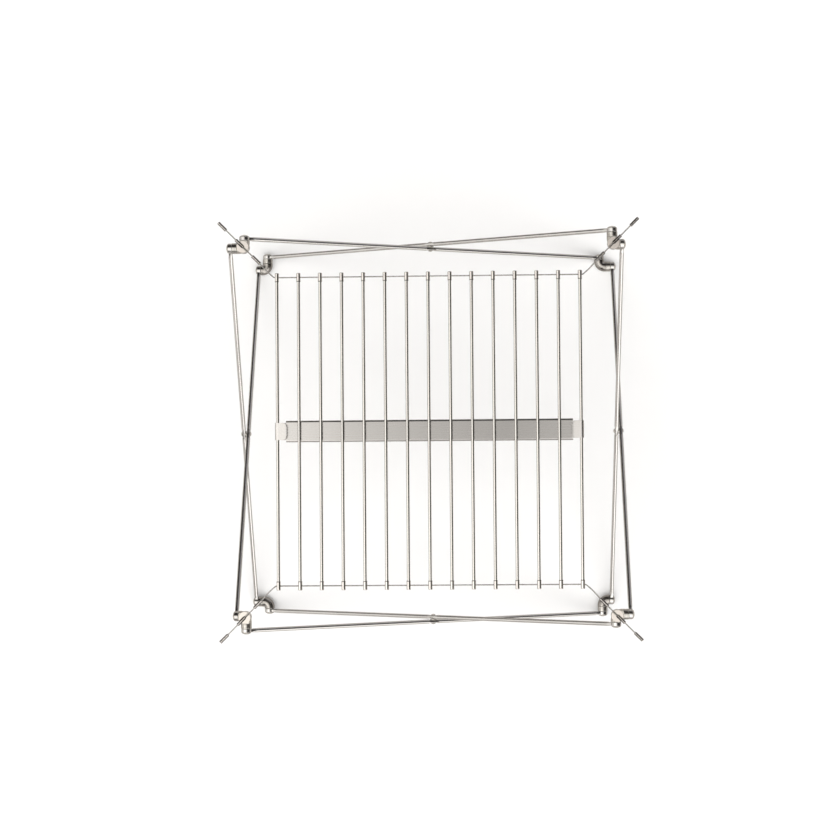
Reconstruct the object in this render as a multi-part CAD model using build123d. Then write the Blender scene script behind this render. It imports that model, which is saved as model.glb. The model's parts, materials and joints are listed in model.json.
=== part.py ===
from build123d import *
import math
import os

# A folding camp grill: a square frame of four scissor crossings, whose upper corners hold
# the cables of a cooking mat made of parallel steel tubes, with a stiffening bar across it.
# Frame: millimetres, +Z up, origin on the ground under the centre, front towards -Y.
# The frame has fourfold symmetry, so each corner or side piece is drawn once, at the front
# left corner or on the front side, and turned by quarter turns.

# Frame
SPAN = 340.0             # between the hub axes, both ways
RISE = 190.0             # from the lower hub axes to the upper ones
HUB_D = 10.0
HUB_BEND = 5.5           # centreline radius of the elbow
HUB_FACE = 7.0           # from the hub axes to the end face of each branch
END_ROUND = 0.5          # rounding of hub, spacer, cap and ferrule rims
BOSS_D = 11.2            # the round boss across each upper hub, with flat ends
BOSS_SHIFT = 1.5         # outwards along the diagonal, from the hub axes
BOSS_HALF = 5.2          # half height, a little more than the hub's radius
BOSS_ROUND = 0.3

# Legs, in two planes outside the hubs
LEG_D = 4.0
EYE_T = 3.4              # thickness of the flattened eyes
EYE_D = 9.4
FACE_GAP = 0.3           # between faces that turn past each other
PLANE_STEP = 4.3         # from the inner leg plane to the outer one
FLAT_HALF = 6.0          # half length of the flats at the eyes
MID_FLAT_HALF = 3.5      # half length of the flats at the crossing

# Pivot screws
SCREW_D = 3.0
SCREW_CLEARANCE = 0.05   # radial, in the eyes that turn
THREAD_CLEARANCE = 0.02  # radial, where nothing turns
SCREW_REACH = 4.3        # from the hub axes to the screw's tip
HEAD_D = 8.4
HEAD_RIM = 0.3          # height of the head below its dome
HEAD_DOME = 1.4
HEAD_GAP = 0.2
SOCKET_FLATS = 2.0
SOCKET_DEPTH = 0.9
HOLE_SPARE = 0.1         # depth of each screw hole past the screw's tip

# Spacers under the outer legs
SPACER_D = 10.0
GROOVE_W = 0.4
GROOVE_DEPTH = 0.3

# Rivet and washer at each crossing
RIVET_D = 2.0
RIVET_HEAD_D = 4.6
RIVET_DOME = 1.0
WASHER_D = 6.4
WASHER_T = 0.6

# Cooking mat
TUBE_COUNT = 15
TUBE_PITCH = 20.0
TUBE_D = 3.0
TUBE_BORE = 2.0
TUBE_LENGTH = 281.6
CABLE_Y = 142.5          # from the centre to each cable, along the tubes
CAP_D = 3.8
CAP_LENGTH = 8.3
CAP_INNER = 138.3        # from the centre to the cap's open end

# Cables and ferrules; distances along a corner's diagonal count outwards from the hub axes
CABLE_D = 1.2
CABLE_CLEARANCE = 0.05
CABLE_BEND_POINTS = ((153.0, 153.0), (143.4, CABLE_Y))
CABLE_BEND_RADII = (150.0, 3.2)
CABLE_END = 33.9
FERRULE_D = 3.0
FERRULE_LENGTH = 10.0
FERRULE_STARTS = (24.1, 1.4, -20.3)
SLOT_STEP = 1.3          # where the hub's slot widens to seat the middle ferrule
CABLE_SLOT_W = 2.4
CABLE_SLOT_DEPTH = 0.9   # below the cable's centreline
FERRULE_SLOT_W = 3.3
FERRULE_SLOT_DEPTH = 1.7

# Support bar, bent from sheet
SHEET = 0.8
BAR_W = 20.0
BAR_FLANGE_LENGTH = 265.0
BAR_FLANGE_DEPTH = 3.0
BAR_ROLL = 1.8           # outer radius of the rolled edges
BAR_CLEARANCE = 0.15     # between the bar and the tubes
TONGUE_W = 16.0
TONGUE_REACH = 8.5       # from the outermost tube's centre back over the mat
TONGUE_ROUND = 4.0

# Worked out
HALF = SPAN / 2
LOW_Z = HUB_D / 2
HIGH_Z = LOW_Z + RISE
LEG_LENGTH = math.hypot(SPAN, RISE)
LEG_SLOPE = math.degrees(math.atan2(RISE, SPAN))
INNER_PLANE = HUB_FACE + FACE_GAP + EYE_T / 2
OUTER_PLANE = INNER_PLANE + PLANE_STEP
SIDES = ("front", "right", "back", "left")
CORNERS = ("front_left", "front_right", "back_right", "back_left")


def quarter(turns, shape):
    """The shape, turned about the grill's vertical centreline."""
    return Rot(0, 0, 90 * turns) * shape


def rod_y(radius, start, end):
    """A cylinder along Y, between two places."""
    return Pos(0, (start + end) / 2, 0) * Rot(90, 0, 0) * Cylinder(radius, abs(end - start))


def outward(shape):
    """Moves a shape drawn along +Y onto the front left corner's outward diagonal."""
    return Rot(0, 0, 135) * shape


def dome(radius, rim_y, tip_y):
    """The outline of a domed head, from its tip on the Y axis to its rim."""
    return TangentArc((0, tip_y), (radius, rim_y), tangent=(1, 0))


def hub(slotted):
    """An elbow with its two branches along -Y and -X, each with a blind screw hole.
    The slotted one has a flat-ended boss, and a stepped slot for the cable on its diagonal."""
    path = FilletPolyline((0, -HUB_FACE), (0, 0), (-HUB_FACE, 0), radius=HUB_BEND)
    section = Plane(origin=path @ 0, z_dir=path % 0) * Circle(HUB_D / 2)
    body = sweep(section, path=path)
    rims = body.edges().filter_by(GeomType.CIRCLE).filter_by(
        lambda rim: rim.arc_center.length > HUB_FACE - END_ROUND / 2)
    body = fillet(rims, END_ROUND)
    if slotted:
        boss = Cylinder(BOSS_D / 2, 2 * BOSS_HALF)
        boss = fillet(boss.edges().filter_by(GeomType.CIRCLE), BOSS_ROUND)
        body += outward(Pos(0, BOSS_SHIFT, 0) * boss)
    hole = rod_y(SCREW_D / 2 + THREAD_CLEARANCE, -HUB_FACE - 1, -SCREW_REACH + HOLE_SPARE)
    body -= hole
    body -= Rot(0, 0, -90) * hole
    if slotted:
        top = HUB_D
        cable_slot = Box(CABLE_SLOT_W, HUB_D, top + CABLE_SLOT_DEPTH)
        ferrule_slot = Box(FERRULE_SLOT_W, HUB_D, top + FERRULE_SLOT_DEPTH)
        middle = SLOT_STEP - HUB_D / 2
        body -= outward(Pos(0, middle, (top - CABLE_SLOT_DEPTH) / 2) * cable_slot)
        middle = SLOT_STEP + HUB_D / 2
        body -= outward(Pos(0, middle, (top - FERRULE_SLOT_DEPTH) / 2) * ferrule_slot)
    return body


def pivot_screw(plane):
    """A domed screw along -Y, through the eye of a leg in the given plane."""
    seat = -plane - EYE_T / 2 - HEAD_GAP
    rim = seat - HEAD_RIM
    tip = rim - HEAD_DOME
    shank, head = SCREW_D / 2, HEAD_D / 2
    outline = Polyline((0, tip), (0, -SCREW_REACH), (shank, -SCREW_REACH), (shank, seat))
    outline += Polyline((shank, seat), (head, seat), (head, rim))
    body = revolve(make_face(outline + dome(head, rim, tip)), axis=Axis.Y)
    socket = extrude(RegularPolygon(SOCKET_FLATS / 2, 6, major_radius=False), SOCKET_DEPTH + 1)
    return body - Pos(0, tip + SOCKET_DEPTH, 0) * Rot(90, 0, 0) * socket


def spacer():
    """A ringed collar along -Y, between a hub's face and an outer leg's eye."""
    length = PLANE_STEP
    body = rod_y(SPACER_D / 2, -HUB_FACE, -HUB_FACE - length)
    body = fillet(body.edges().filter_by(GeomType.CIRCLE), END_ROUND / 2)
    for share in (1 / 3, 2 / 3):
        middle = HUB_FACE + length * share
        groove = rod_y(SPACER_D, -middle + GROOVE_W / 2, -middle - GROOVE_W / 2)
        body -= groove - rod_y(SPACER_D / 2 - GROOVE_DEPTH, -HUB_FACE, -HUB_FACE - length)
    return body - rod_y(SCREW_D / 2 + THREAD_CLEARANCE, 0, -HUB_FACE - 2 * length)


def leg():
    """A round rod along X with an eye at each end, flattened there and at its middle."""
    eye = rod_y(EYE_D / 2, -EYE_T / 2, EYE_T / 2)
    eye_hole = rod_y(SCREW_D / 2 + SCREW_CLEARANCE, -LEG_D, LEG_D)
    body = Rot(0, 90, 0) * Cylinder(LEG_D / 2, LEG_LENGTH)
    body -= rod_y(RIVET_D / 2 + SCREW_CLEARANCE, -LEG_D, LEG_D)
    end = LEG_LENGTH / 2
    for x, half_length in ((-end, FLAT_HALF), (0, MID_FLAT_HALF), (end, FLAT_HALF)):
        slab = Box(2 * half_length, LEG_D, 2 * LEG_D)
        for side in (-1, 1):
            body -= Pos(x, side * (EYE_T + LEG_D) / 2, 0) * slab
    for x in (-end, end):
        body = body + Pos(x, 0, 0) * eye - Pos(x, 0, 0) * eye_hole
    return body


def mid_rivet():
    """The pin through both legs of a side, with a domed head at each end."""
    near = HEAD_GAP + EYE_T / 2 - INNER_PLANE
    far = -OUTER_PLANE - EYE_T / 2
    pin, head = RIVET_D / 2, RIVET_HEAD_D / 2
    outline = dome(head, near, near + RIVET_DOME) + dome(head, far, far - RIVET_DOME)
    outline += Polyline((head, near), (pin, near), (pin, far), (head, far))
    outline += Line((0, near + RIVET_DOME), (0, far - RIVET_DOME))
    return revolve(make_face(outline), axis=Axis.Y)


def mid_washer():
    """The washer that keeps the crossing legs apart; it stays with the outer leg."""
    seat = OUTER_PLANE - EYE_T / 2
    body = rod_y(WASHER_D / 2, -seat, -seat + WASHER_T)
    return body - rod_y(RIVET_D / 2 + THREAD_CLEARANCE, 0, -2 * seat)


def tube():
    """One hollow tube of the mat, along Y."""
    half = TUBE_LENGTH / 2
    return rod_y(TUBE_D / 2, -half, half) - rod_y(TUBE_BORE / 2, -half - 1, half + 1)


def end_cap():
    """The cap on a tube's back end, with the cable's cross hole."""
    outer = CAP_INNER + CAP_LENGTH
    body = rod_y(CAP_D / 2, CAP_INNER, outer)
    body = fillet(body.edges().filter_by(GeomType.CIRCLE).group_by(Axis.Y)[-1], END_ROUND)
    body -= rod_y(TUBE_D / 2 + THREAD_CLEARANCE, 0, TUBE_LENGTH / 2)
    hole = Rot(0, 90, 0) * Cylinder(CABLE_D / 2 + CABLE_CLEARANCE, 2 * CAP_D)
    return body - Pos(0, CABLE_Y, 0) * hole


def cable():
    """The back cable: through the caps, then out along the two back diagonals."""
    tip = HALF + CABLE_END / math.sqrt(2)
    right = ((tip, tip),) + CABLE_BEND_POINTS
    left = tuple((-x, y) for x, y in reversed(right))
    radii = CABLE_BEND_RADII + tuple(reversed(CABLE_BEND_RADII))
    path = FilletPolyline(*right, *left, radius=list(radii))
    print("cable length", round(path.length, 1))
    return sweep(Plane(origin=path @ 0, z_dir=path % 0) * Circle(CABLE_D / 2), path=path)


def ferrule(start):
    """A crimped ferrule on the front left corner's cable."""
    body = rod_y(FERRULE_D / 2, start, start + FERRULE_LENGTH)
    body = fillet(body.edges().filter_by(GeomType.CIRCLE), END_ROUND / 2)
    body -= rod_y(CABLE_D / 2 + THREAD_CLEARANCE, start - 1, start + FERRULE_LENGTH + 1)
    return outward(body)


def support_bar():
    """A channel of sheet metal under the tubes, its ends curled round the outermost two."""
    web_top = -TUBE_D / 2 - BAR_CLEARANCE
    channel = Box(BAR_FLANGE_LENGTH, BAR_W, BAR_FLANGE_DEPTH)
    channel = Pos(0, 0, web_top - BAR_FLANGE_DEPTH / 2) * channel
    channel = fillet(channel.edges().filter_by(Axis.X).group_by(Axis.Z)[-1], BAR_ROLL)
    hollow = Box(BAR_FLANGE_LENGTH + 2, BAR_W - 2 * SHEET, BAR_FLANGE_DEPTH)
    hollow = Pos(0, 0, web_top - SHEET - BAR_FLANGE_DEPTH / 2) * hollow
    hollow = fillet(hollow.edges().filter_by(Axis.X).group_by(Axis.Z)[-1], BAR_ROLL - SHEET)
    body = channel - hollow
    for side in (0, 180):
        body += Rot(0, 0, side) * bar_hook()
    return body


def bar_hook():
    """The right hook: a tongue that curls up round the outermost tube and back over it."""
    tube_x = TUBE_PITCH * (TUBE_COUNT - 1) / 2
    inner = TUBE_D / 2 + BAR_CLEARANCE
    root_x = BAR_FLANGE_LENGTH / 2 - TONGUE_ROUND
    sheet_z = inner + SHEET / 2
    under = Pos((root_x + tube_x) / 2, 0, -sheet_z) * Box(tube_x - root_x, TONGUE_W, SHEET)
    over = Pos(tube_x - TONGUE_REACH / 2, 0, sheet_z) * Box(TONGUE_REACH, TONGUE_W, SHEET)
    over = fillet(over.edges().filter_by(Axis.Z).group_by(Axis.X)[0], TONGUE_ROUND)
    curl = rod_y(inner + SHEET, -TONGUE_W / 2, TONGUE_W / 2) - rod_y(inner, -TONGUE_W, TONGUE_W)
    curl &= Pos(HUB_D, 0, 0) * Box(2 * HUB_D, TONGUE_W, HUB_D)
    return under + over + Pos(tube_x, 0, 0) * curl


def save(shape, node):
    export_step(shape, f"parts/{node}.step")


def save_frame():
    """The hubs, screws, spacers, legs, rivets and washers."""
    for level, z in (("lower", LOW_Z), ("upper", HIGH_Z)):
        place = Pos(-HALF, -HALF, z)
        to_side = Rot(0, 0, -90)
        spacer_turn, plain_turn = (to_side, Rot()) if level == "lower" else (Rot(), to_side)
        elbow = place * hub(slotted=level == "upper")
        long_screw = place * spacer_turn * pivot_screw(OUTER_PLANE)
        short_screw = place * plain_turn * pivot_screw(INNER_PLANE)
        screws = Compound(children=[long_screw, short_screw])
        collar = place * spacer_turn * spacer()
        for turns, corner in enumerate(CORNERS):
            save(quarter(turns, elbow), f"{level}_hub_{corner}")
            save(quarter(turns, screws), f"{level}_pivot_screws_{corner}")
            save(quarter(turns, collar), f"{level}_spacer_{corner}")
    middle = Pos(0, -HALF, (LOW_Z + HIGH_Z) / 2)
    inner_leg = middle * Pos(0, -INNER_PLANE, 0) * Rot(0, -LEG_SLOPE, 0) * leg()
    outer_leg = middle * Pos(0, -OUTER_PLANE, 0) * Rot(0, LEG_SLOPE, 0) * leg()
    for turns, side in enumerate(SIDES):
        save(quarter(turns, inner_leg), f"{side}_inner_leg")
        save(quarter(turns, outer_leg), f"{side}_outer_leg")
        save(quarter(turns, middle * mid_rivet()), f"{side}_mid_rivet")
        save(quarter(turns, middle * mid_washer()), f"{side}_mid_washer")


def save_mat():
    """The tubes with their caps, the two cables with their ferrules, and the bar."""
    level = Pos(0, 0, HIGH_Z)
    caps = []
    for number in range(TUBE_COUNT):
        place = level * Pos(TUBE_PITCH * (number - (TUBE_COUNT - 1) / 2), 0, 0)
        save(place * tube(), f"mat_tube_{number + 1:02d}")
        caps += [place * end_cap(), place * Rot(0, 0, 180) * end_cap()]
    save(Compound(children=caps), "tube_end_caps")
    save(level * cable(), "back_cable")
    save(level * Rot(0, 0, 180) * cable(), "front_cable")
    corner = level * Pos(-HALF, -HALF, 0)
    ferrules = []
    for turns in range(4):
        ferrules += [quarter(turns, corner * ferrule(start)) for start in FERRULE_STARTS]
    save(Compound(children=ferrules), "cable_ferrules")
    save(level * support_bar(), "support_bar")


os.makedirs("parts", exist_ok=True)
save_frame()
save_mat()
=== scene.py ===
import json
import math
import bmesh
import bpy
import numpy as np
from mathutils import Matrix, Vector


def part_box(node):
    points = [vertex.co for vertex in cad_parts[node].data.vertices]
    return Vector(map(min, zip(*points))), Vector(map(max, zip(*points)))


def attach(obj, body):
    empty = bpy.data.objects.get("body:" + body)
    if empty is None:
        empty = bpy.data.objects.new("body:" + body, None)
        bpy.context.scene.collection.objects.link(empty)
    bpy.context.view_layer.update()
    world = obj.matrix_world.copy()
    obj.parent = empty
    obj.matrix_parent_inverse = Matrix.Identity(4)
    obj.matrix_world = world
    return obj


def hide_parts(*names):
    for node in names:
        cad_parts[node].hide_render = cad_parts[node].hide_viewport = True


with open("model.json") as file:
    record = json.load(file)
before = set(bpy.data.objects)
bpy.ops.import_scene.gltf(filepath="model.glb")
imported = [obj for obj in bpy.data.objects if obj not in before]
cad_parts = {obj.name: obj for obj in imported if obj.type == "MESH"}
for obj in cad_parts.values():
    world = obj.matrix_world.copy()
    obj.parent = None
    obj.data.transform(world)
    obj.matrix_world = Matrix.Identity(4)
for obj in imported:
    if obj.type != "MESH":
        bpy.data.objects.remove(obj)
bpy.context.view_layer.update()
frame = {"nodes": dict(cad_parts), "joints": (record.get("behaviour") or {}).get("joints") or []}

MM = 0.001
JOINTS = {joint["name"]: joint for joint in frame["joints"]}
SIDES = ("front", "right", "back", "left")
CORNERS = ("front_left", "front_right", "back_right", "back_left")
TUBES = sorted(name for name in frame["nodes"] if name.startswith("mat_tube_"))

# Places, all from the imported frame
LOW = Vector(JOINTS["frame_fold"]["pos_m"])                # lower hub axes at the front left
HIGH = Vector((LOW.x, LOW.y, JOINTS["front_right_top_pivot"]["pos_m"][2]))
HALF = -LOW.x
SPAN = 2 * HALF
LEG_LENGTH = math.hypot(SPAN, HIGH.z - LOW.z)
SLOPE = math.atan2(HIGH.z - LOW.z, SPAN)

# Sizes in millimetres, mostly as in the frame
HUB_R, HUB_BEND, HUB_FACE, HUB_ROUND = 5.0, 5.5, 7.0, 0.5
BOSS_R, BOSS_SHIFT, BOSS_HALF, BOSS_ROUND = 5.6, 1.5, 5.2, 0.3
SHOULDER_W, SHOULDER_Z = 0.9, 3.7                          # the step down round the boss's top
HOLE_R, HOLE_END, HOLE_CHAMFER = 1.52, 4.2, 0.15
SLOT_STEP, CABLE_SLOT, FERRULE_SLOT = 1.3, (2.4, -0.9), (3.3, -1.7)    # (width, floor)
LEG_R, EYE_HALF, EYE_R = 2.0, 1.7, 4.7
# A leg's section changes between these distances from an eye, or from the middle
EYE_FLAT, EYE_WIDE, MIDDLE_FLAT = (5.6, 9.5), (2.6, 6.5), (3.4, 5.4)
LEG_WIDER, LEG_SQUARER = 0.5, 2.2                          # half width and squareness gained there
FLAT_INSET, PIN_PLAY = 0.02, 0.05                          # rod inside its eye; holes round pins
INNER_PLANE, OUTER_PLANE = 9.0, 13.3
SCREW_R, SCREW_TIP, HEAD_R, HEAD_RIM, HEAD_DOME, HEAD_GAP = 1.5, 4.3, 4.2, 0.3, 1.4, 0.2
SOCKET_FLATS, SOCKET_DEPTH = 2.0, 0.9
SPACER_R, GROOVE_R, GROOVE_W = 5.0, 4.8, 0.4
RIVET_R, RIVET_HEAD_R, RIVET_DOME, RIVET_RIM = 1.0, 2.3, 1.0, 0.1
WASHER_R, WASHER_T = 3.2, 0.6
TUBE_R, TUBE_BORE_R, TUBE_HALF_LENGTH = 1.5, 1.0, 140.8
CAP_R, CAP_START, CAP_END, CAP_BORE_R, CABLE_Y = 1.9, 138.3, 146.6, 1.52, 142.5
CABLE_R, CABLE_HOLE_R = 0.6, 0.65
CABLE_END = 33.9                                           # from a hub's middle to the cable's tip
STRANDS, STRAND_LAY, STRAND_STEP = 6, 7.0, 0.35            # number, length of one turn, mesh step
FERRULE_R, FERRULE_BORE_R, FERRULE_LENGTH = 1.5, 0.62, 10.0
FERRULE_STARTS = (24.1, 1.4, -20.3)                        # along the outward diagonal
SHEET, BAR_HALF_W, BAR_HALF_LENGTH, BAR_DEPTH = 0.8, 10.0, 132.5, 3.0
BAR_ROLL, HOOK_R, TONGUE_HALF_W, TONGUE_REACH, TONGUE_ROUND = 1.8, 1.65, 8.0, 8.5, 4.0
EDGE_ROUND = 0.12
CUT_REACH, CUT_OUT = 9, 12                                 # the slots' cutting blocks, past the hub
SHARP_ANGLE, BEND_ANGLE = 32.0, 40.0                       # degrees, above which an edge is an edge

# The camera (lens in millimetres, place in metres), the overhead light and the floor; angles in
# degrees
CAMERA_SENSOR, CAMERA_LENS = 36.0, 79.8
CAMERA_PLACE, CAMERA_TURN = (0.0473, -0.0366, 1.9101), (1.526, 1.871, -0.448)
SUN_SPREAD, SUN_STRENGTH, SUN_TILT = 70, 1.05, (15, 9)
FLOOR_REACH = 6.0                                          # metres, to each side

# Steel: the used range of a noise, the broad noise's share, the grain's depth, the fade of a top's painted
# highlight
NOISE_LOW, NOISE_HIGH = 0.3, 0.7
BROAD_SHARE, GRAIN_DEPTH, PAINTED_HIGHLIGHT_FADE = 0.45, 0.02, 0.08

# The room: dark, with soft bright patches of (azimuth, elevation, inner and outer half angle
# in degrees, strength, colour)
ROOM_DARK = (0.050, 0.046, 0.044)
FLOOR_IN_METAL = (0.58, 0.56, 0.54)      # the pale floor is dimmer where the metal mirrors it
ROOM_PATCHES = (
    (225, 70, 13, 39, 1.62, (1.0, 0.985, 0.96)),
    (195, 30, 22, 50, 1.10, (1.0, 0.985, 0.96)),
    (300, 32, 6, 41, 2.20, (1.0, 0.99, 0.98)),
    (58, 8, 8, 34, 0.60, (0.93, 0.94, 1.0)),
)


# ---------------------------------------------------------------- camera, light and floor

def link(name, data):
    made = bpy.data.objects.new(name, data)
    bpy.context.scene.collection.objects.link(made)
    return made


def add_camera():
    """High above the grill, a little to the right and front, looking nearly straight down."""
    data = bpy.data.cameras.new("camera")
    data.sensor_width = CAMERA_SENSOR
    data.lens = CAMERA_LENS
    camera = link("camera", data)
    camera.location = CAMERA_PLACE
    camera.rotation_euler = [math.radians(angle) for angle in CAMERA_TURN]
    bpy.context.scene.camera = camera


def add_overhead_light():
    """A broad soft light from above, which lights the floor but is not seen in the metal."""
    data = bpy.data.lights.new("overhead", "SUN")
    data.angle = math.radians(SUN_SPREAD)
    data.energy = SUN_STRENGTH
    light = link("overhead", data)
    light.rotation_euler = (*(math.radians(angle) for angle in SUN_TILT), 0.0)
    light.visible_glossy = False


def background(tree, colour, strength=None):
    node = tree.nodes.new("ShaderNodeBackground")
    node.inputs["Color"].default_value = (*colour, 1.0)
    if strength is not None:
        tree.links.new(strength, node.inputs["Strength"])
    return node.outputs["Background"]


def add_world():
    """A dark room with a few bright patches; the camera itself sees a plain white backdrop."""
    world = bpy.data.worlds.new("room")
    bpy.context.scene.world = world
    world.use_nodes = True
    tree = world.node_tree
    tree.nodes.clear()
    place = tree.nodes.new("ShaderNodeTexCoord")
    total = background(tree, ROOM_DARK)
    for azimuth, elevation, inner, outer, strength, colour in ROOM_PATCHES:
        turn, lift = math.radians(azimuth), math.radians(elevation)
        side = tree.nodes.new("ShaderNodeVectorMath")
        side.operation = "DOT_PRODUCT"
        level = math.cos(lift)
        side.inputs[1].default_value = (math.cos(turn) * level, math.sin(turn) * level, math.sin(lift))
        tree.links.new(place.outputs["Generated"], side.inputs[0])
        span = tree.nodes.new("ShaderNodeMapRange")
        span.interpolation_type = "SMOOTHSTEP"
        span.inputs["From Min"].default_value = math.cos(math.radians(outer))
        span.inputs["From Max"].default_value = math.cos(math.radians(inner))
        span.inputs["To Max"].default_value = strength
        tree.links.new(side.outputs["Value"], span.inputs["Value"])
        both = tree.nodes.new("ShaderNodeAddShader")
        tree.links.new(total, both.inputs[0])
        tree.links.new(background(tree, colour, span.outputs["Result"]), both.inputs[1])
        total = both.outputs["Shader"]
    seen = tree.nodes.new("ShaderNodeLightPath")
    either = tree.nodes.new("ShaderNodeMixShader")
    tree.links.new(seen.outputs["Is Camera Ray"], either.inputs["Fac"])
    tree.links.new(total, either.inputs[1])
    tree.links.new(background(tree, (1.0, 1.0, 1.0)), either.inputs[2])
    out = tree.nodes.new("ShaderNodeOutputWorld")
    tree.links.new(either.outputs["Shader"], out.inputs["Surface"])


def add_floor(material):
    reach = FLOOR_REACH
    mesh = bpy.data.meshes.new("floor")
    corners = [(-reach, -reach, 0), (reach, -reach, 0), (reach, reach, 0), (-reach, reach, 0)]
    mesh.from_pydata(corners, [], [(0, 1, 2, 3)])
    mesh.materials.append(material)
    link("floor", mesh)


# ---------------------------------------------------------------- materials

def new_material(name):
    material = bpy.data.materials.new(name)
    material.use_nodes = True
    return material, material.node_tree, material.node_tree.nodes["Principled BSDF"]


def noise(tree, source, scale, detail):
    """A noise texture on coordinates stretched by the given scales, per millimetre."""
    stretch = tree.nodes.new("ShaderNodeMapping")
    stretch.inputs["Scale"].default_value = [value / MM for value in scale]
    tree.links.new(source, stretch.inputs["Vector"])
    texture = tree.nodes.new("ShaderNodeTexNoise")
    texture.inputs["Scale"].default_value = 1.0
    texture.inputs["Detail"].default_value = detail
    tree.links.new(stretch.outputs["Vector"], texture.inputs["Vector"])
    return texture.outputs["Fac"]


def spread(tree, value, low, high):
    """Maps the used range of a noise onto low..high."""
    node = tree.nodes.new("ShaderNodeMapRange")
    node.inputs["From Min"].default_value = NOISE_LOW
    node.inputs["From Max"].default_value = NOISE_HIGH
    node.inputs["To Min"].default_value = low
    node.inputs["To Max"].default_value = high
    tree.links.new(value, node.inputs["Value"])
    return node.outputs["Result"]


def blend_colour(tree, factor, dark, light):
    node = tree.nodes.new("ShaderNodeValToRGB")
    node.color_ramp.elements[0].position = NOISE_LOW
    node.color_ramp.elements[1].position = NOISE_HIGH
    node.color_ramp.elements[0].color = (*dark, 1.0)
    node.color_ramp.elements[1].color = (*light, 1.0)
    tree.links.new(factor, node.inputs["Fac"])
    return node.outputs["Color"]


def toned(tree, colour, place, tone):
    """The colour, scaled along a piece by (place in millimetres, factor) pairs."""
    first, last = tone[0][0], tone[-1][0]
    brightest = max(factor for place_mm, factor in tone)
    span = tree.nodes.new("ShaderNodeMapRange")
    span.inputs["From Min"].default_value = first * MM
    span.inputs["From Max"].default_value = last * MM
    tree.links.new(place, span.inputs["Value"])
    ramp = tree.nodes.new("ShaderNodeValToRGB")
    ramp.color_ramp.elements.remove(ramp.color_ramp.elements[0])
    for number, (place_mm, factor) in enumerate(tone):
        position = (place_mm - first) / (last - first)
        stop = ramp.color_ramp.elements[0] if number == 0 else ramp.color_ramp.elements.new(position)
        stop.position = position
        stop.color = (factor / brightest,) * 3 + (1.0,)
    tree.links.new(span.outputs["Result"], ramp.inputs["Fac"])
    scaled = tree.nodes.new("ShaderNodeVectorMath")
    scaled.operation = "MULTIPLY"
    tree.links.new(colour, scaled.inputs[0])
    tree.links.new(ramp.outputs["Color"], scaled.inputs[1])
    lifted = tree.nodes.new("ShaderNodeVectorMath")
    lifted.operation = "SCALE"
    lifted.inputs["Scale"].default_value = brightest
    tree.links.new(scaled.outputs["Vector"], lifted.inputs[0])
    return lifted.outputs["Vector"]


def steel(name, dark, light, roughness, grain, bump, patch=(0.02, 0.15, 0.15),
          top=None, tone=None):
    """Stainless steel: fine grain in colour, roughness and bump, over broad faint patches. The
    top, (height, colour), is a painted highlight: a lighter face above that height. The tone, (place
    along X, factor) pairs, is painted light and shade that lightens or darkens the steel along a
    piece. Both are in millimetres."""
    material, tree, shader = new_material(name)
    source = tree.nodes.new("ShaderNodeAttribute")
    source.attribute_name = "local"
    fine = noise(tree, source.outputs["Vector"], grain, 5.0)
    broad = noise(tree, source.outputs["Vector"], patch, 3.0)
    mixed = tree.nodes.new("ShaderNodeMix")
    mixed.inputs["Factor"].default_value = BROAD_SHARE
    tree.links.new(fine, mixed.inputs["A"])
    tree.links.new(broad, mixed.inputs["B"])
    colour = blend_colour(tree, mixed.outputs["Result"], dark, light)
    parts = tree.nodes.new("ShaderNodeSeparateXYZ")
    tree.links.new(source.outputs["Vector"], parts.inputs["Vector"])
    # The tone paints light and shade along the piece.
    if tone:
        colour = toned(tree, colour, parts.outputs["X"], tone)
    # The top is a painted highlight: a lighter face where the light falls from above.
    if top:
        height, pale = top
        above = tree.nodes.new("ShaderNodeMapRange")
        above.inputs["From Min"].default_value = (height - PAINTED_HIGHLIGHT_FADE) * MM
        above.inputs["From Max"].default_value = height * MM
        tree.links.new(parts.outputs["Z"], above.inputs["Value"])
        blend = tree.nodes.new("ShaderNodeMix")
        blend.data_type = "RGBA"
        blend.inputs["B"].default_value = (*pale, 1.0)
        tree.links.new(above.outputs["Result"], blend.inputs["Factor"])
        tree.links.new(colour, blend.inputs["A"])
        colour = blend.outputs["Result"]
    tree.links.new(colour, shader.inputs["Base Color"])
    tree.links.new(spread(tree, mixed.outputs["Result"], *roughness), shader.inputs["Roughness"])
    shader.inputs["Metallic"].default_value = 1.0
    relief = tree.nodes.new("ShaderNodeBump")
    relief.inputs["Strength"].default_value = bump
    relief.inputs["Distance"].default_value = GRAIN_DEPTH * MM
    tree.links.new(fine, relief.inputs["Height"])
    tree.links.new(relief.outputs["Normal"], shader.inputs["Normal"])
    return material


def paper():
    material, tree, shader = new_material("floor_paper")
    source = tree.nodes.new("ShaderNodeTexCoord")
    tone = noise(tree, source.outputs["Object"], (0.01, 0.01, 0.01), 2.0)
    colour = blend_colour(tree, tone, (0.90, 0.90, 0.90), (0.915, 0.915, 0.915))
    seen = tree.nodes.new("ShaderNodeLightPath")
    dimmed = tree.nodes.new("ShaderNodeMix")
    dimmed.data_type = "RGBA"
    dimmed.inputs["B"].default_value = (*FLOOR_IN_METAL, 1.0)
    tree.links.new(seen.outputs["Is Glossy Ray"], dimmed.inputs["Factor"])
    tree.links.new(colour, dimmed.inputs["A"])
    tree.links.new(dimmed.outputs["Result"], shader.inputs["Base Color"])
    shader.inputs["Roughness"].default_value = 0.9
    return material


# ---------------------------------------------------------------- mesh building

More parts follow.
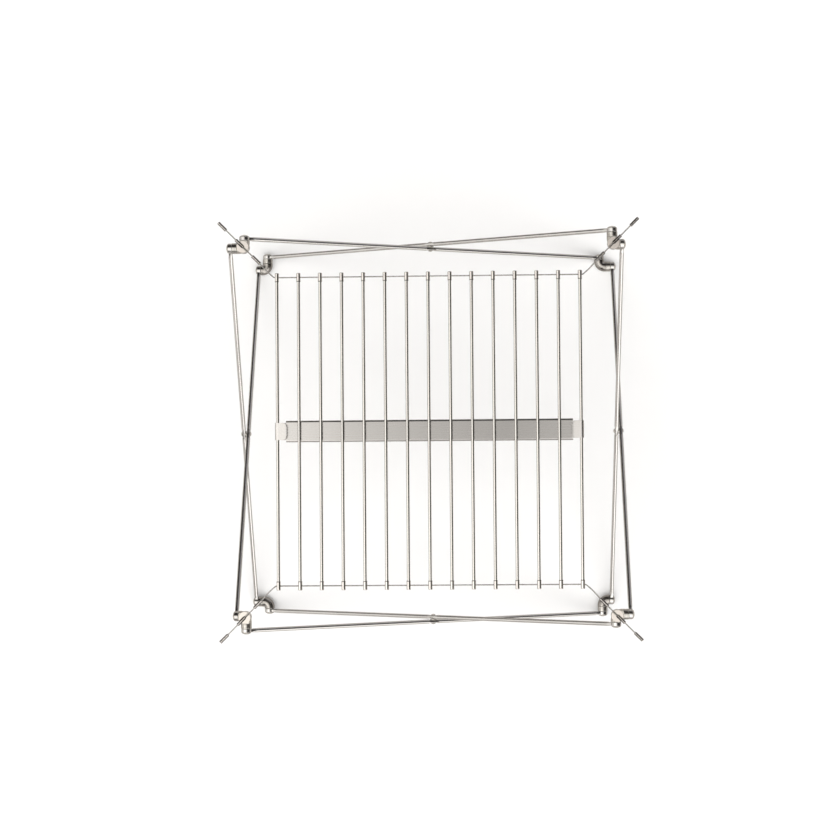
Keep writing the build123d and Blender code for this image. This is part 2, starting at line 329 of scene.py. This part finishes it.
def loft(rings, closed_start=True, closed_end=True):
    """A mesh through rings of points; a ring of one point closes to a tip."""
    points, faces, starts = [], [], []
    for ring in rings:
        starts.append(len(points))
        points += [tuple(point) for point in ring]
    for here, there, first, second in zip(rings, rings[1:], starts, starts[1:]):
        count = max(len(here), len(there))
        for i in range(count):
            j = (i + 1) % count
            if len(here) == 1:
                faces.append((first, second + j, second + i))
            elif len(there) == 1:
                faces.append((first + i, first + j, second))
            else:
                faces.append((first + i, first + j, second + j, second + i))
    if closed_start and len(rings[0]) > 1:
        faces.append(tuple(reversed(range(len(rings[0])))))
    if closed_end and len(rings[-1]) > 1:
        faces.append(tuple(range(starts[-1], starts[-1] + len(rings[-1]))))
    return to_mesh(points, faces)


def to_mesh(points, faces):
    mesh = bpy.data.meshes.new("shape")
    mesh.from_pydata(points, [], faces)
    mesh.validate()
    return mesh


def lathe(profile, segments=48, loop=False):
    """A solid turned about X from (place, radius) pairs, in order along X; loop joins the ends."""
    rings = []
    for x, radius in profile + (profile[:1] if loop else []):
        if radius < 1e-6:
            rings.append([(x, 0.0, 0.0)])
        else:
            turns = [2 * math.pi * i / segments for i in range(segments)]
            rings.append([(x, radius * math.cos(t), radius * math.sin(t)) for t in turns])
    mesh = loft(rings, closed_start=False, closed_end=False)
    return welded(mesh) if loop else mesh


def welded(mesh):
    work = bmesh.new()
    work.from_mesh(mesh)
    bmesh.ops.remove_doubles(work, verts=work.verts, dist=1e-5)
    bmesh.ops.recalc_face_normals(work, faces=work.faces)
    work.to_mesh(mesh)
    work.free()
    return mesh


def angle_steps(start, end, steps=8):
    """Angles from start to end, given in degrees and returned in radians."""
    return [math.radians(start + (end - start) * i / steps) for i in range(steps + 1)]


def arc(x, radius, size, start, end, steps=5):
    """Profile points round a corner whose centre is at (x, radius); angles in degrees."""
    turns = angle_steps(start, end, steps)
    return [(x + size * math.cos(t), radius + size * math.sin(t)) for t in turns]


def dome(rim_x, radius, height, steps=10):
    """Profile of a domed head from its rim to its tip, towards +X."""
    ball = (radius**2 + height**2) / (2 * height)
    widest = math.asin(radius / ball)
    turns = [widest * (1 - i / steps) for i in range(steps + 1)]
    return [(rim_x + height - ball + ball * math.cos(t), ball * math.sin(t)) for t in turns]


def combined(mesh, other, operation, place=Matrix.Identity(4)):
    """The mesh with a placed other one added to it or cut from it."""
    target, tool = link("target", mesh), link("tool", other)
    tool.matrix_world = place
    work = target.modifiers.new("work", "BOOLEAN")
    work.object, work.operation, work.solver = tool, operation, "EXACT"
    made = applied(target)
    bpy.data.objects.remove(tool)
    return made


def applied(target):
    """The object's mesh with its modifiers, as a mesh of its own; the object is removed."""
    bpy.context.view_layer.update()
    graph = bpy.context.evaluated_depsgraph_get()
    made = bpy.data.meshes.new_from_object(target.evaluated_get(graph))
    bpy.data.objects.remove(target)
    return made


def softened(mesh, width, angle=SHARP_ANGLE):
    """The mesh with its real edges rounded a little, so that they catch the light."""
    target = link("target", mesh)
    work = target.modifiers.new("work", "BEVEL")
    work.width, work.segments, work.limit_method = width, 2, "ANGLE"
    work.angle_limit = math.radians(angle)
    work.use_clamp_overlap = True
    return applied(target)


def block(low, high):
    (a, b, c), (d, e, f) = low, high
    points = [(a, b, c), (d, b, c), (d, e, c), (a, e, c), (a, b, f), (d, b, f), (d, e, f), (a, e, f)]
    faces = [(3, 2, 1, 0), (4, 5, 6, 7), (0, 1, 5, 4), (1, 2, 6, 5), (2, 3, 7, 6), (3, 0, 4, 7)]
    return to_mesh(points, faces)


def piece(name, placed, material, slot, body, *nodes):
    """One object from (mesh in millimetres, place) pairs. It keeps each mesh's own coordinates
    as the attribute "local", so that the grain of its material follows the mesh."""
    points, local, faces, count = [], [], [], 0
    for mesh, place in placed:
        co = np.empty(len(mesh.vertices) * 3)
        mesh.vertices.foreach_get("co", co)
        co = co.reshape(-1, 3)
        local.append(co * MM)
        matrix = np.array(place)
        points.append((co * MM) @ matrix[:3, :3].T + matrix[:3, 3])
        faces += [tuple(index + count for index in polygon.vertices) for polygon in mesh.polygons]
        count += len(co)
    mesh = bpy.data.meshes.new(name)
    mesh.from_pydata(np.concatenate(points).tolist(), [], faces)
    attribute = mesh.attributes.new("local", "FLOAT_VECTOR", "POINT")
    attribute.data.foreach_set("vector", np.concatenate(local).astype(np.float32).ravel())
    mesh.shade_smooth()
    mesh.set_sharp_from_angle(angle=math.radians(SHARP_ANGLE))
    mesh.materials.append(material)
    shaped = link("shaped", mesh)
    flats = shaped.modifiers.new("flats", "WEIGHTED_NORMAL")
    flats.keep_sharp = True
    mesh = applied(shaped)
    mesh.name = name
    made = link(name, mesh)
    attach(made, body)
    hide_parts(*nodes)
    return made


def quarter(turns):
    return Matrix.Rotation(turns * math.pi / 2, 4, "Z")


def along(direction):
    """Turns local +X to the given horizontal direction."""
    return Matrix.Rotation(math.atan2(direction[1], direction[0]), 4, "Z")


# ---------------------------------------------------------------- frame pieces

def circle_ring(centre, across, up, radius, segments):
    turns = [2 * math.pi * i / segments for i in range(segments)]
    return [centre + across * (radius * math.cos(t)) + up * (radius * math.sin(t)) for t in turns]


def hub_mesh(slotted):
    """The elbow with its two screw holes, and in the upper ones the stepped cable slot."""
    segments = 56
    profile = [(HOLE_END, 0.0), (HOLE_END, HOLE_R)]
    profile += [(HUB_FACE - HOLE_CHAMFER, HOLE_R), (HUB_FACE, HOLE_R + HOLE_CHAMFER)]
    profile += arc(HUB_FACE - HUB_ROUND, HUB_R - HUB_ROUND, HUB_ROUND, 0, 90, 4)
    up = Vector((0, 0, 1))
    rings = []
    for place, radius in profile:
        centre = Vector((0, -place, 0))
        ring = circle_ring(centre, Vector((1, 0, 0)), up, radius, segments)
        rings.append([centre] if radius == 0 else ring)
    steps = 20
    middle = Vector((-HUB_BEND, -HUB_BEND, 0))
    for i in range(steps + 1):
        turn = math.pi / 2 * i / steps
        across = Vector((math.cos(turn), math.sin(turn), 0))
        rings.append(circle_ring(middle + across * HUB_BEND, across, up, HUB_R, segments))
    for place, radius in reversed(profile):
        centre = Vector((-place, 0, 0))
        ring = circle_ring(centre, Vector((0, 1, 0)), up, radius, segments)
        rings.append([centre] if radius == 0 else ring)
    mesh = welded(loft(rings))
    if slotted:
        turn = Matrix.Rotation(math.radians(135), 4, "Z")
        edge, soft = BOSS_R - BOSS_ROUND, BOSS_ROUND
        end = BOSS_HALF - BOSS_ROUND
        outline = [(-BOSS_HALF, 0.0)] + arc(-end, edge, soft, 180, 90)
        outline += arc(end, edge, soft, 90, 0) + [(BOSS_HALF, 0.0)]
        upright = Matrix.Rotation(math.radians(-90), 4, "Y")
        boss_place = turn @ Matrix.Translation((0, BOSS_SHIFT, 0)) @ upright
        inside, outside, above = BOSS_R - 0.3, BOSS_R + SHOULDER_W, BOSS_HALF + 1
        ditch = [(SHOULDER_Z, inside), (SHOULDER_Z, outside), (above, outside), (above, inside)]
        mesh = combined(mesh, lathe(ditch, 80, loop=True), "DIFFERENCE", boss_place)
        mesh = combined(mesh, lathe(outline, 80), "UNION", boss_place)
        width, floor = CABLE_SLOT
        narrow = block((-width / 2, -CUT_REACH, floor), (width / 2, SLOT_STEP + 0.1, CUT_REACH))
        mesh = combined(mesh, narrow, "DIFFERENCE", turn)
        width, floor = FERRULE_SLOT
        wide = block((-width / 2, SLOT_STEP, floor), (width / 2, CUT_OUT, CUT_REACH))
        mesh = combined(mesh, wide, "DIFFERENCE", turn)
    return softened(mesh, EDGE_ROUND)


def screw_mesh(plane):
    """A domed screw with a hex socket, along X, for a leg in the given plane."""
    seat = plane + EYE_HALF + HEAD_GAP
    rim, point, soft = seat + HEAD_RIM, 0.3, 0.15
    profile = [(SCREW_TIP, 0.0), (SCREW_TIP, SCREW_R - point), (SCREW_TIP + point, SCREW_R)]
    profile += [(seat, SCREW_R), (seat, HEAD_R - soft), (seat + soft, HEAD_R)]
    profile += dome(rim, HEAD_R, HEAD_DOME)
    body = lathe(profile, 56)
    tip = rim + HEAD_DOME
    corner = SOCKET_FLATS / math.sqrt(3)
    floor, past = tip - SOCKET_DEPTH, tip + 1
    socket = lathe([(floor, 0.0), (floor, corner), (past, corner), (past, 0.0)], segments=6)
    return softened(combined(body, socket, "DIFFERENCE"), 0.05)


def spacer_mesh():
    """A turned collar along X with two shallow grooves."""
    start, end, soft = HUB_FACE, HUB_FACE + OUTER_PLANE - INNER_PLANE, 0.25
    half, slant = GROOVE_W / 2, 0.06
    profile = [(start, HOLE_R)] + arc(start + soft, SPACER_R - soft, soft, 180, 90)
    for share in (1 / 3, 2 / 3):
        middle = start + (end - start) * share
        profile += [(middle - half - slant, SPACER_R), (middle - half + slant, GROOVE_R)]
        profile += [(middle + half - slant, GROOVE_R), (middle + half + slant, SPACER_R)]
    profile += arc(end - soft, SPACER_R - soft, soft, 90, 0) + [(end, HOLE_R)]
    return lathe(profile, 56, loop=True)


def ease(value, start, end):
    share = min(1.0, max(0.0, (value - start) / (end - start)))
    return share * share * (3 - 2 * share)


def leg_section(from_eye, from_middle):
    """Half thickness, half width and squareness of a leg at a place along it, in millimetres."""
    flat = 1 - min(ease(from_eye, *EYE_FLAT), ease(from_middle, *MIDDLE_FLAT))
    widen = 1 - ease(from_eye, *EYE_WIDE)
    thickness = LEG_R + (EYE_HALF - FLAT_INSET - LEG_R) * flat
    return thickness, LEG_R + LEG_WIDER * widen, 2.0 + LEG_SQUARER * flat


def leg_mesh():
    """A drawn rod along X, pressed flat at its eyes and at its crossing."""
    half = LEG_LENGTH / MM / 2
    segments = 40
    # Sections lie close together where the shape changes, and wider apart on the shaft
    near_eye = [half - 2.4 - 0.4 * i for i in range(20)]
    shaft = list(np.linspace(near_eye[-1], 6.0, 26))[1:]
    near_middle = [5.5 - 0.4 * i for i in range(8)] + [2.0, 1.0]
    places = near_eye + shaft + near_middle
    places = [-x for x in places] + [0.0] + places[::-1]
    rings = []
    for x in places:
        thickness, width, square = leg_section(half - abs(x), abs(x))
        ring = []
        for i in range(segments):
            turn = 2 * math.pi * i / segments
            c, s = math.cos(turn), math.sin(turn)
            y = thickness * math.copysign(abs(c) ** (2 / square), c)
            z = width * math.copysign(abs(s) ** (2 / square), s)
            ring.append((x, y, z))
        rings.append(ring)
    mesh = loft(rings)
    soft, lip, hole = 0.3, 0.12, SCREW_R + PIN_PLAY
    rim = arc(EYE_HALF - soft, EYE_R - soft, soft, 0, 90, 4)
    inner = [(-EYE_HALF + lip, hole), (-EYE_HALF, hole + lip)]
    outline = inner + [(-x, r) for x, r in rim] + rim[::-1] + [(-x, r) for x, r in inner[::-1]]
    eye = lathe(outline, 64, loop=True)
    for x in (-half, half):
        place = Matrix.Translation((x, 0, 0)) @ along((0, 1))
        mesh = combined(mesh, eye.copy(), "UNION", place)
    reach, hole = 5, RIVET_R + PIN_PLAY
    pin = lathe([(-reach, 0.0), (-reach, hole), (reach, hole), (reach, 0.0)], 32)
    return combined(mesh, pin, "DIFFERENCE", along((0, 1)))


def rivet_mesh():
    """The crossing pin with its two heads; X runs outwards from the hub axes."""
    near, far = INNER_PLANE - EYE_HALF - HEAD_GAP, OUTER_PLANE + EYE_HALF
    outer = dome(far + RIVET_RIM, RIVET_HEAD_R, RIVET_DOME - RIVET_RIM)
    inner = [(near - RIVET_RIM - (x - far - RIVET_RIM), r) for x, r in outer]
    edge = RIVET_HEAD_R - 0.05
    profile = inner[::-1] + [(near, edge), (near, RIVET_R), (far, RIVET_R), (far, edge)] + outer
    return lathe(profile, 40)


def washer_mesh():
    start, soft, hole = OUTER_PLANE - EYE_HALF - WASHER_T, 0.12, RIVET_R + 0.02
    end = start + WASHER_T
    profile = [(start, hole)] + arc(start + soft, WASHER_R - soft, soft, 180, 90, 3)
    profile += arc(end - soft, WASHER_R - soft, soft, 90, 0, 3) + [(end, hole)]
    return lathe(profile, 48, loop=True)


def add_frame(rod, upper_hub, lower_hub, turned, polished):
    """Hubs, screws, spacers, legs, rivets and washers."""
    screws = {plane: screw_mesh(plane) for plane in (INNER_PLANE, OUTER_PLANE)}
    collar, leg, rivet, washer = spacer_mesh(), leg_mesh(), rivet_mesh(), washer_mesh()
    to_front, to_left = along((0, -1)), along((-1, 0))
    for level, corner_place, part in (("lower", LOW, "foot"), ("upper", HIGH, "top")):
        elbow = hub_mesh(slotted=level == "upper")
        cast = upper_hub if level == "upper" else lower_hub
        collar_turn, plain_turn = (to_left, to_front) if level == "lower" else (to_front, to_left)
        for turns, corner in enumerate(CORNERS):
            place = quarter(turns) @ Matrix.Translation(corner_place)
            body = f"{corner}_{part}"
            hub, ring = f"{level}_hub_{corner}", f"{level}_spacer_{corner}"
            set_name = f"{level}_pivot_screws_{corner}"
            piece("elbow_" + hub, [(elbow, place)], cast, "hub_steel", body, hub)
            pair = [(screws[OUTER_PLANE], place @ collar_turn), (screws[INNER_PLANE], place @ plain_turn)]
            piece("pair_" + set_name, pair, polished, "screw_steel", body, set_name)
            piece("ring_" + ring, [(collar, place @ collar_turn)], turned, "spacer_steel", body, ring)
    crossing = Vector((0, LOW.y, (LOW.z + HIGH.z) / 2))
    for turns, side in enumerate(SIDES):
        place = quarter(turns) @ Matrix.Translation(crossing)
        for kind, plane, tilt in (("inner", INNER_PLANE, -SLOPE), ("outer", OUTER_PLANE, SLOPE)):
            node = f"{side}_{kind}_leg"
            lean = place @ Matrix.Translation((0, -plane * MM, 0)) @ Matrix.Rotation(tilt, 4, "Y")
            piece("rod_" + node, [(leg, lean)], rod, "leg_steel", node, node)
        outer, outwards = f"{side}_outer_leg", place @ to_front
        node = f"{side}_mid_rivet"
        piece("pin_" + node, [(rivet, outwards)], polished, "screw_steel", outer, node)
        node = f"{side}_mid_washer"
        piece("ring_" + node, [(washer, outwards)], turned, "spacer_steel", outer, node)


# ---------------------------------------------------------------- the mat

def tube_mesh():
    half, soft = TUBE_HALF_LENGTH, 0.1
    profile = [(-half, TUBE_BORE_R), (-half, TUBE_R - soft)]
    profile += [(x, TUBE_R) for x in np.linspace(-half + soft, half - soft, 24)]
    profile += [(half, TUBE_R - soft), (half, TUBE_BORE_R)]
    return lathe(profile, 32, loop=True)


def cap_mesh():
    """A pressed cap along X with the cable's cross hole along Y."""
    soft, lip, bottom, reach = 0.55, 0.12, CAP_START + 2.5, 3
    profile = [(bottom, 0.0), (bottom, CAP_BORE_R), (CAP_START, CAP_BORE_R)]
    profile += arc(CAP_START + lip, CAP_R - lip, lip, 180, 90, 3)
    profile += arc(CAP_END - soft, CAP_R - soft, soft, 90, 0, 6) + [(CAP_END, 0.0)]
    body = lathe(profile, 36)
    bore = [(-reach, 0.0), (-reach, CABLE_HOLE_R), (reach, CABLE_HOLE_R), (reach, 0.0)]
    hole = lathe(bore, 24)
    place = Matrix.Translation((CABLE_Y, 0, 0)) @ along((0, 1))
    return combined(body, hole, "DIFFERENCE", place)


def ferrule_mesh():
    """A crimped sleeve along X, from 0, with two faint crimp rings."""
    soft, end = 0.25, FERRULE_LENGTH
    profile = [(0, FERRULE_BORE_R)] + arc(soft, FERRULE_R - soft, soft, 180, 90, 3)
    for middle in (0.3 * end, 0.7 * end):
        for offset, depth in ((-0.9, 0.0), (-0.5, 0.05), (0.5, 0.05), (0.9, 0.0)):
            profile.append((middle + offset, FERRULE_R - depth))
    profile += arc(end - soft, FERRULE_R - soft, soft, 90, 0, 3) + [(end, FERRULE_BORE_R)]
    return lathe(profile, 32, loop=True)


def cable_line():
    """Points along the back cable's smooth line, from one tip to the other."""
    tip = HALF / MM + CABLE_END / math.sqrt(2)
    right = [(tip, tip), (172.0, 172.0), (157.0, 157.0), (153.5, 153.2), (148.5, 147.6)]
    right += [(143.4, 143.2), (142.3, CABLE_Y), (140.5, CABLE_Y), (136.0, CABLE_Y)]
    points = right + [(0.0, CABLE_Y)] + [(-x, y) for x, y in right[::-1]]
    data = bpy.data.curves.new("route", "CURVE")
    data.dimensions = "3D"
    data.resolution_u = 24
    spline = data.splines.new("NURBS")
    spline.points.add(len(points) - 1)
    for point, (x, y) in zip(spline.points, points):
        point.co = (x, y, 0.0, 1.0)
    spline.order_u = 3
    spline.use_endpoint_u = True
    route = link("route", data)
    line = applied(route)
    return np.array([vertex.co[:] for vertex in line.vertices])


def cable_mesh():
    """The strands, as one lobed section that twists along the line."""
    line = cable_line()
    steps = np.linalg.norm(np.diff(line, axis=0), axis=1)
    far = np.concatenate([[0.0], np.cumsum(steps)])
    lengths = np.linspace(0.0, far[-1], int(far[-1] / STRAND_STEP))
    centres = np.stack([np.interp(lengths, far, line[:, i]) for i in range(3)], axis=1)
    ahead = np.gradient(centres, axis=0)
    ahead /= np.linalg.norm(ahead, axis=1)[:, None]
    up = np.array([0.0, 0.0, 1.0])
    section = []
    per_strand = 6
    for i in range(STRANDS * per_strand):
        turn = 2 * math.pi * i / (STRANDS * per_strand)
        lobe = abs(math.sin(STRANDS * turn / 2))
        section.append((turn, CABLE_R * (0.80 + 0.20 * lobe ** 0.6)))
    rings = []
    for centre, forward, length in zip(centres, ahead, lengths):
        across = np.cross(up, forward)
        twist = 2 * math.pi * length / STRAND_LAY
        ring = [centre + r * (across * math.cos(t + twist) + up * math.sin(t + twist)) for t, r in section]
        rings.append(ring)
    return loft(rings)


def add_mat(tube_steel, cap_steel, cable_steel, ferrule_steel):
    level = Matrix.Translation((0, 0, HIGH.z))
    tube, cap, ferrule, cable = tube_mesh(), cap_mesh(), ferrule_mesh(), cable_mesh()
    to_back, to_front = along((0, 1)), along((0, -1))
    caps = []
    for node in TUBES:
        low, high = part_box(node)
        place = level @ Matrix.Translation(((low.x + high.x) / 2, 0, 0))
        piece("tube_" + node, [(tube, place @ to_back)], tube_steel, "tube_steel", "mat", node)
        caps += [(cap, place @ to_back), (cap, place @ to_front)]
    piece("caps_all", caps, cap_steel, "cap_steel", "mat", "tube_end_caps")
    for node, place in (("back_cable", level), ("front_cable", level @ quarter(2))):
        piece("strand_" + node, [(cable, place)], cable_steel, "cable_steel", "mat", node)
    sleeves = []
    for turns in range(4):
        corner = quarter(turns) @ Matrix.Translation(HIGH) @ along((-1, -1))
        sleeves += [(ferrule, corner @ Matrix.Translation((start * MM, 0, 0))) for start in FERRULE_STARTS]
    piece("sleeves_all", sleeves, ferrule_steel, "ferrule_steel", "mat", "cable_ferrules")


# ---------------------------------------------------------------- the support bar

def channel_section():
    """The outline of the bar across its length, in (y, z): an inverted trough of bent sheet."""
    top, soft = -HOOK_R, 0.15
    bottom, inside = top - BAR_DEPTH, BAR_HALF_W - SHEET
    outer, inner = BAR_ROLL, BAR_ROLL - SHEET
    centre_y, centre_z = BAR_HALF_W - outer, top - outer
    bend = [(math.cos(t), math.sin(t)) for t in angle_steps(0, 90)]
    right = [(BAR_HALF_W, bottom + soft)]
    right += [(centre_y + outer * c, centre_z + outer * s) for c, s in bend]
    left = [(-y, z) for y, z in right[::-1]]
    under_left = [(-(BAR_HALF_W - soft), bottom), (-(inside + soft), bottom)]
    under_left += [(-inside, bottom + soft)]
    under_left += [(-(centre_y + inner * c), centre_z + inner * s) for c, s in bend]
    under_right = [(-y, z) for y, z in under_left[::-1]]
    return right + left + under_left + under_right


def tongue_mesh():
    """The right hook as one bent strip: along under the tube, round it and back over the mat."""
    tube_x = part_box(TUBES[-1])[1].x / MM - TUBE_R
    middle = HOOK_R + SHEET / 2
    start = BAR_HALF_LENGTH - 5.0                          # inside the channel's end
    line = [(x, -middle, 0.0, -1.0) for x in np.linspace(start, tube_x, 8)[:-1]]
    for t in angle_steps(-90, 90, 28):
        line.append((tube_x + middle * math.cos(t), middle * math.sin(t), math.cos(t), math.sin(t)))
    run = TONGUE_REACH - TONGUE_ROUND
    line += [(x, middle, 0.0, 1.0) for x in np.linspace(tube_x, tube_x - run, 5)[1:]]
    ends = [TONGUE_ROUND * math.sin(t) for t in angle_steps(0, 90, 10)][1:]
    line += [(tube_x - run - reach, middle, 0.0, 1.0) for reach in ends]
    rings = []
    for x, z, normal_x, normal_z in line:
        past = max(0.0, (tube_x - run - x) if z > 0 else 0.0)
        half = TONGUE_HALF_W - TONGUE_ROUND + math.sqrt(max(0.0, TONGUE_ROUND**2 - past**2))
        ys = np.linspace(-half, half, 9)
        out, back = SHEET / 2, -SHEET / 2
        ring = [(x + normal_x * out, y, z + normal_z * out) for y in ys]
        ring += [(x + normal_x * back, y, z + normal_z * back) for y in ys[::-1]]
        rings.append(ring)
    return welded(loft(rings))


def bar_mesh():
    section = channel_section()
    places = np.linspace(-BAR_HALF_LENGTH, BAR_HALF_LENGTH, 30)
    channel = welded(loft([[(x, y, z) for y, z in section] for x in places]))
    tongue = tongue_mesh()
    mesh = combined(channel, tongue.copy(), "UNION")
    mesh = combined(mesh, tongue, "UNION", quarter(2))
    return softened(mesh, EDGE_ROUND, BEND_ANGLE)


def add_bar(sheet):
    placed = [(bar_mesh(), Matrix.Translation((0, 0, HIGH.z)))]
    piece("sheet_support_bar", placed, sheet, "bar_steel", "bar", "support_bar")


# ---------------------------------------------------------------- the scene

add_camera()
add_world()
bpy.context.scene.view_settings.view_transform = "Standard"
add_overhead_light()
add_floor(paper())

# Brightness painted along a piece: painted shade at the caps' open rims, where they meet the tubes,
# and on the bar a painted reflection of a room's uneven light in the flat sheet, lighter at the ends.
CAP_RIM_PAINTED_SHADE = ((138.3, 0.38), (138.9, 0.38), (139.2, 1.0), (146.6, 1.0))
BAR_PAINTED_REFLECTION = ((-146.0, 1.18), (-133.5, 1.15), (-131.0, 1.02), (-70.0, 0.80), (0.0, 0.67), (70.0, 0.60),
            (131.0, 0.72), (133.5, 1.20), (146.0, 1.28))

# Grain and patches, per millimetre along X, Y and Z
DRAWN_GRAIN = (0.03, 6.0, 6.0)
CAST_GRAIN, CAST_PATCH = (4.0, 4.0, 4.0), (0.12, 0.12, 0.12)
SOFT_PATCH = (0.2, 0.2, 0.2)

add_frame(
    rod=steel("drawn_rod", (0.52, 0.50, 0.48), (0.68, 0.665, 0.64), (0.14, 0.24), DRAWN_GRAIN, 0.25),
    # The lower hubs' steel is a darker copy of the upper hubs' steel: painted shade.
    lower_hub=steel("foot_hub_painted_shade", (0.30, 0.28, 0.26), (0.44, 0.42, 0.39), (0.12, 0.22),
                    CAST_GRAIN, 0.3, CAST_PATCH),
    # The upper hubs' boss top carries a painted highlight.
    upper_hub=steel("turned_hub_painted_top", (0.46, 0.43, 0.39), (0.62, 0.59, 0.54), (0.15, 0.25),
                    CAST_GRAIN, 0.3, CAST_PATCH, top=(BOSS_HALF - 0.05, (0.62, 0.575, 0.53))),
    turned=steel("turned_ring", (0.42, 0.40, 0.37), (0.62, 0.60, 0.56), (0.14, 0.24),
                 (9.0, 0.2, 0.2), 0.3, SOFT_PATCH),
    polished=steel("screw_head", (0.56, 0.54, 0.50), (0.72, 0.70, 0.66), (0.10, 0.20),
                   (2.0, 2.0, 2.0), 0.2, SOFT_PATCH))
add_mat(
    tube_steel=steel("drawn_tube", (0.56, 0.54, 0.51), (0.70, 0.68, 0.65), (0.14, 0.24), DRAWN_GRAIN, 0.25),
    # The caps' open rims are darkened with painted shade where they meet the tubes.
    cap_steel=steel("pressed_cap", (0.56, 0.53, 0.50), (0.76, 0.73, 0.70), (0.12, 0.22),
                    (3.0, 0.6, 0.6), 0.2, (0.3, 0.3, 0.3), tone=CAP_RIM_PAINTED_SHADE),
    cable_steel=steel("wire_strand", (0.32, 0.31, 0.295), (0.54, 0.52, 0.495), (0.20, 0.32),
                      (1.5, 3.0, 3.0), 0.2),
    # The sleeves' near-black sides are painted shade and their lighter top a painted highlight.
    ferrule_steel=steel("crimped_sleeve_painted_light", (0.11, 0.10, 0.095), (0.19, 0.18, 0.17), (0.12, 0.22),
                        (0.6, 4.0, 4.0), 0.25, SOFT_PATCH, top=(1.44, (0.44, 0.415, 0.39))))
add_bar(
    # The bar's sheet carries a painted reflection, lighter towards its ends.
    sheet=steel("brushed_sheet", (0.50, 0.48, 0.46), (0.56, 0.545, 0.525), (0.22, 0.32),
                (0.02, 5.0, 5.0), 0.2, (0.01, 0.1, 0.1), tone=BAR_PAINTED_REFLECTION))
